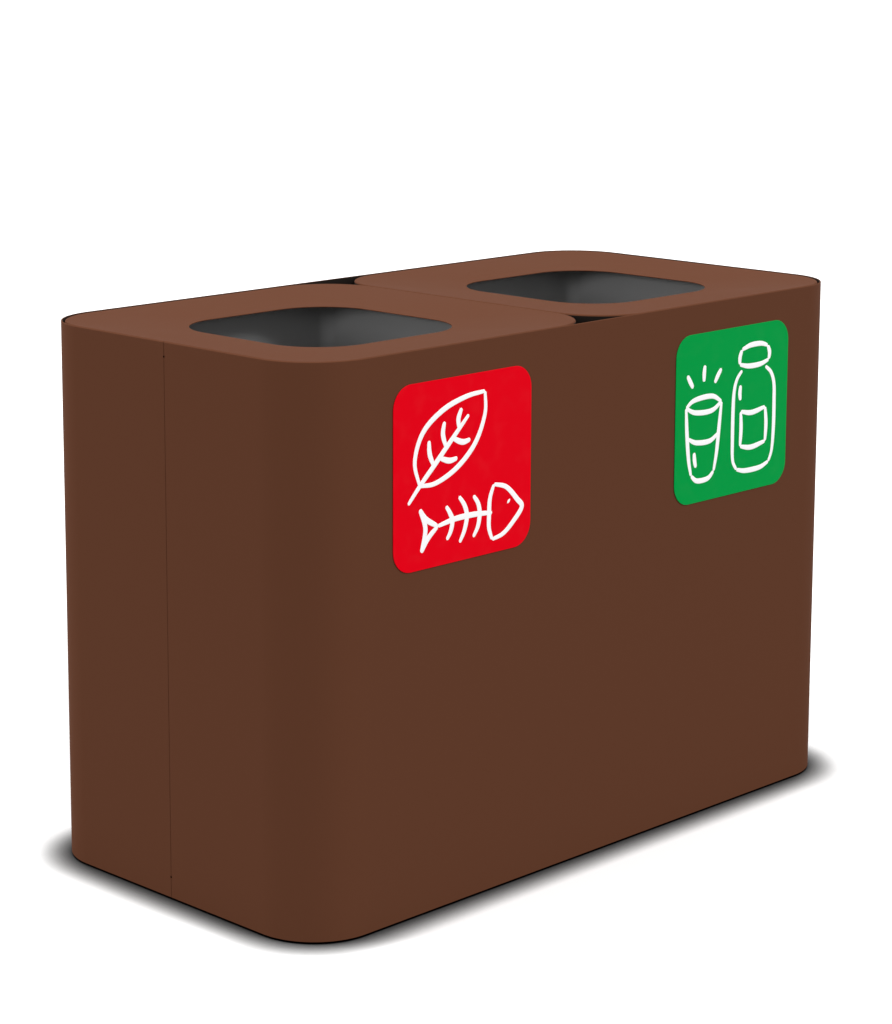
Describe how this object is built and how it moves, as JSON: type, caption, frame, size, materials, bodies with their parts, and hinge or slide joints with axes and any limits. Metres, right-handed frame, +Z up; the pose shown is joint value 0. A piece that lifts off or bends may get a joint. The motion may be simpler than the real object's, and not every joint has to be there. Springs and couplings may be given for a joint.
{
  "type": "double recycling bin",
  "caption": "Low oblong steel bin for separated waste: rounded sheet shell, paired square lift-off lids with rounded openings, lift-out liners, coloured label plates on the front.",
  "frame": {"origin": "on the floor, under the middle of the bin", "axes": "+X along the long side, -Y to the front with the label plates, +Z up"},
  "size_m": [0.73, 0.3661, 0.5],
  "materials": {
    "brown_coat": "satin powder coat, brown",
    "black_coat": "matt powder coat, near black",
    "grey_coat": "matt powder coat, dark grey",
    "zinc_steel": "zinc plated",
    "rubber": "matt black",
    "red_plate": "semi-gloss red plate",
    "green_plate": "semi-gloss green plate"
  },
  "bodies": {
    "bin": {"shell_front": "brown_coat", "shell_rear": "brown_coat", "joint_rivet_left_1": "zinc_steel", "joint_rivet_left_2": "zinc_steel", "joint_rivet_left_3": "zinc_steel", "joint_rivet_right_1": "zinc_steel", "joint_rivet_right_2": "zinc_steel", "joint_rivet_right_3": "zinc_steel", "base_pan": "black_coat", "base_foot_1": "rubber", "base_foot_2": "rubber", "base_foot_3": "rubber", "base_foot_4": "rubber", "centre_divider": "black_coat", "divider_rivet_1": "zinc_steel", "divider_rivet_2": "zinc_steel", "divider_rivet_3": "zinc_steel", "lid_ledge_front": "black_coat", "lid_ledge_rear": "black_coat", "centre_bridge": "black_coat", "bridge_rivet_front": "black_coat", "bridge_rivet_rear": "black_coat", "label_red": "red_plate", "lid_buffer_left_1": "rubber", "lid_buffer_left_2": "rubber", "lid_buffer_left_3": "rubber", "lid_buffer_left_4": "rubber", "label_green": "green_plate", "lid_buffer_right_1": "rubber", "lid_buffer_right_2": "rubber", "lid_buffer_right_3": "rubber", "lid_buffer_right_4": "rubber"},
    "lid_left": {"lid_left": "brown_coat"},
    "lid_right": {"lid_right": "brown_coat"},
    "liner_left": {"liner_left": "grey_coat"},
    "liner_right": {"liner_right": "grey_coat"}
  },
  "joints": [
    {"name": "lid_left_lift", "type": "slide", "parent": "bin", "child": "lid_left", "axis": [0, 0, 1], "range_m": [0, 0.65]},
    {"name": "liner_left_lift", "type": "slide", "parent": "bin", "child": "liner_left", "axis": [0, 0, 1], "range_m": [0, 0.52]},
    {"name": "lid_right_lift", "type": "slide", "parent": "bin", "child": "lid_right", "axis": [0, 0, 1], "range_m": [0, 0.65]},
    {"name": "liner_right_lift", "type": "slide", "parent": "bin", "child": "liner_right", "axis": [0, 0, 1], "range_m": [0, 0.52]}
  ],
  "couplings": [
    {"joint": "liner_left_lift", "follows": "lid_left_lift", "ratio": 0.8},
    {"joint": "liner_right_lift", "follows": "lid_right_lift", "ratio": 0.8}
  ]
}
